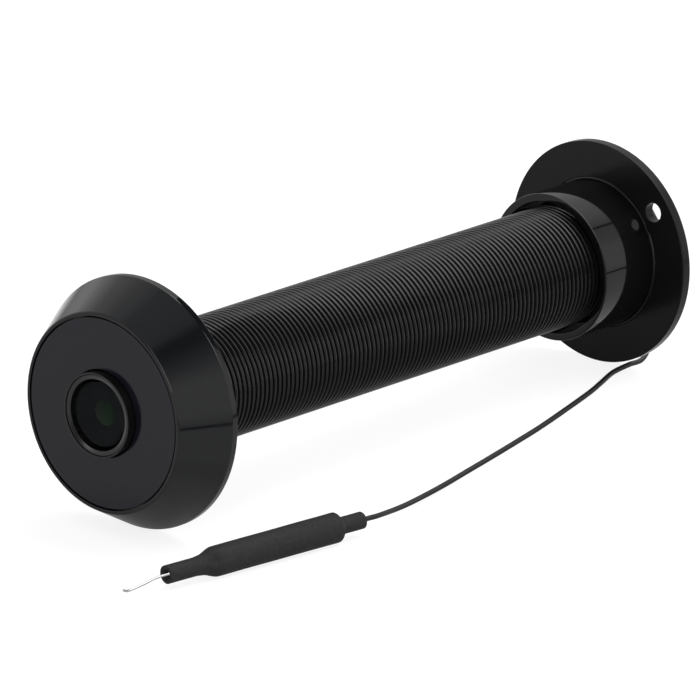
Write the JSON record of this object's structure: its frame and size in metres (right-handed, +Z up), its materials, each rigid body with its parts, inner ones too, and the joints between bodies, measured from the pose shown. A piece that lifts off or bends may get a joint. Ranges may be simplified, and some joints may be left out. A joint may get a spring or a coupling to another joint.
{
  "type": "peephole door camera",
  "caption": "Peephole door camera: conical bezel with a lens, threaded barrel with the boards inside, flange with a sleeve nut, and an antenna on a thin lead.",
  "frame": {"origin": "centre of the bezel's back face, on the barrel's axis, where it seats on the door's outer face", "axes": "+Y along the barrel from the door's outer face into the room, the lens looks along -Y, +Z up"},
  "size_m": [0.0516, 0.1535, 0.0408],
  "materials": {
    "bezel_black": "black anodised, semi-gloss",
    "face_satin": "black anodised, fine satin",
    "barrel_black": "black anodised, machined thread",
    "flange_black": "gloss black lacquer",
    "lens_housing": "black anodised, satin",
    "lens_glass": "coated, dark",
    "filter_glass": "coated",
    "black_plastic": "moulded",
    "pale_plastic": "moulded",
    "rubber_black": "matte",
    "circuit_green": "solder mask",
    "circuit_blue": "solder mask",
    "flex_amber": "polyimide film",
    "chip_black": "moulded resin",
    "ceramic_tan": "matte",
    "tinned_steel": "tinned",
    "spring_steel": "blackened",
    "gilt_brass": "gilt",
    "lead_jacket": "extruded",
    "shrink_sleeve": "matte",
    "bare_wire": "tinned"
  },
  "bodies": {
    "camera": {"front_bezel": "bezel_black", "face_plate": "face_satin", "lens_barrel": "lens_housing", "lens_retaining_ring": "lens_housing", "front_lens": "lens_glass", "lens_spacer": "black_plastic", "rear_lens": "lens_glass", "lens_seal": "rubber_black", "lens_holder": "black_plastic", "infrared_filter": "filter_glass", "image_sensor": "chip_black", "sensor_board": "circuit_green", "holder_screws": "tinned_steel", "sensor_flex": "flex_amber", "flex_socket": "pale_plastic", "main_board": "circuit_green", "image_processor": "chip_black", "flash_memory": "chip_black", "crystal": "tinned_steel", "power_inductors": "chip_black", "board_capacitors": "ceramic_tan", "radio_board": "circuit_blue", "radio_shield": "tinned_steel", "radio_chip": "chip_black", "antenna_socket": "gilt_brass", "antenna_plug": "gilt_brass", "antenna_pigtail": "lead_jacket", "card_socket": "tinned_steel", "power_socket": "tinned_steel", "power_socket_tongue": "black_plastic", "reset_switch": "pale_plastic", "rear_cap": "black_plastic", "cap_seal": "rubber_black", "cable_grommet": "rubber_black", "threaded_barrel": "barrel_black", "antenna_lead": "lead_jacket", "antenna_sleeve": "shrink_sleeve", "antenna_tube": "gilt_brass", "antenna_wire": "bare_wire"},
    "flange": {"flange_plate": "flange_black"},
    "nut": {"sleeve_nut": "flange_black", "nut_clip": "spring_steel"},
    "card": {"memory_card": "chip_black"},
    "button": {"reset_button": "black_plastic"}
  },
  "joints": [
    {"name": "flange_slide", "type": "slide", "parent": "camera", "child": "flange", "axis": [0, -1, 0], "range_m": [0, 0.095]},
    {"name": "nut_turn", "type": "hinge", "parent": "flange", "child": "nut", "pos_m": [0, 0.108, 0], "axis": [0, -1, 0], "range_deg": [0, 34200]},
    {"name": "card_slide", "type": "slide", "parent": "camera", "child": "card", "axis": [0, 1, 0], "range_m": [0, 0.0135]},
    {"name": "reset_press", "type": "slide", "parent": "camera", "child": "button", "axis": [0, -1, 0], "range_m": [0, 0.0003], "stiffness_N_per_m": 200}
  ],
  "couplings": [
    {"joint": "nut_turn", "follows": "flange_slide", "rad_per_m": 6283.2}
  ]
}
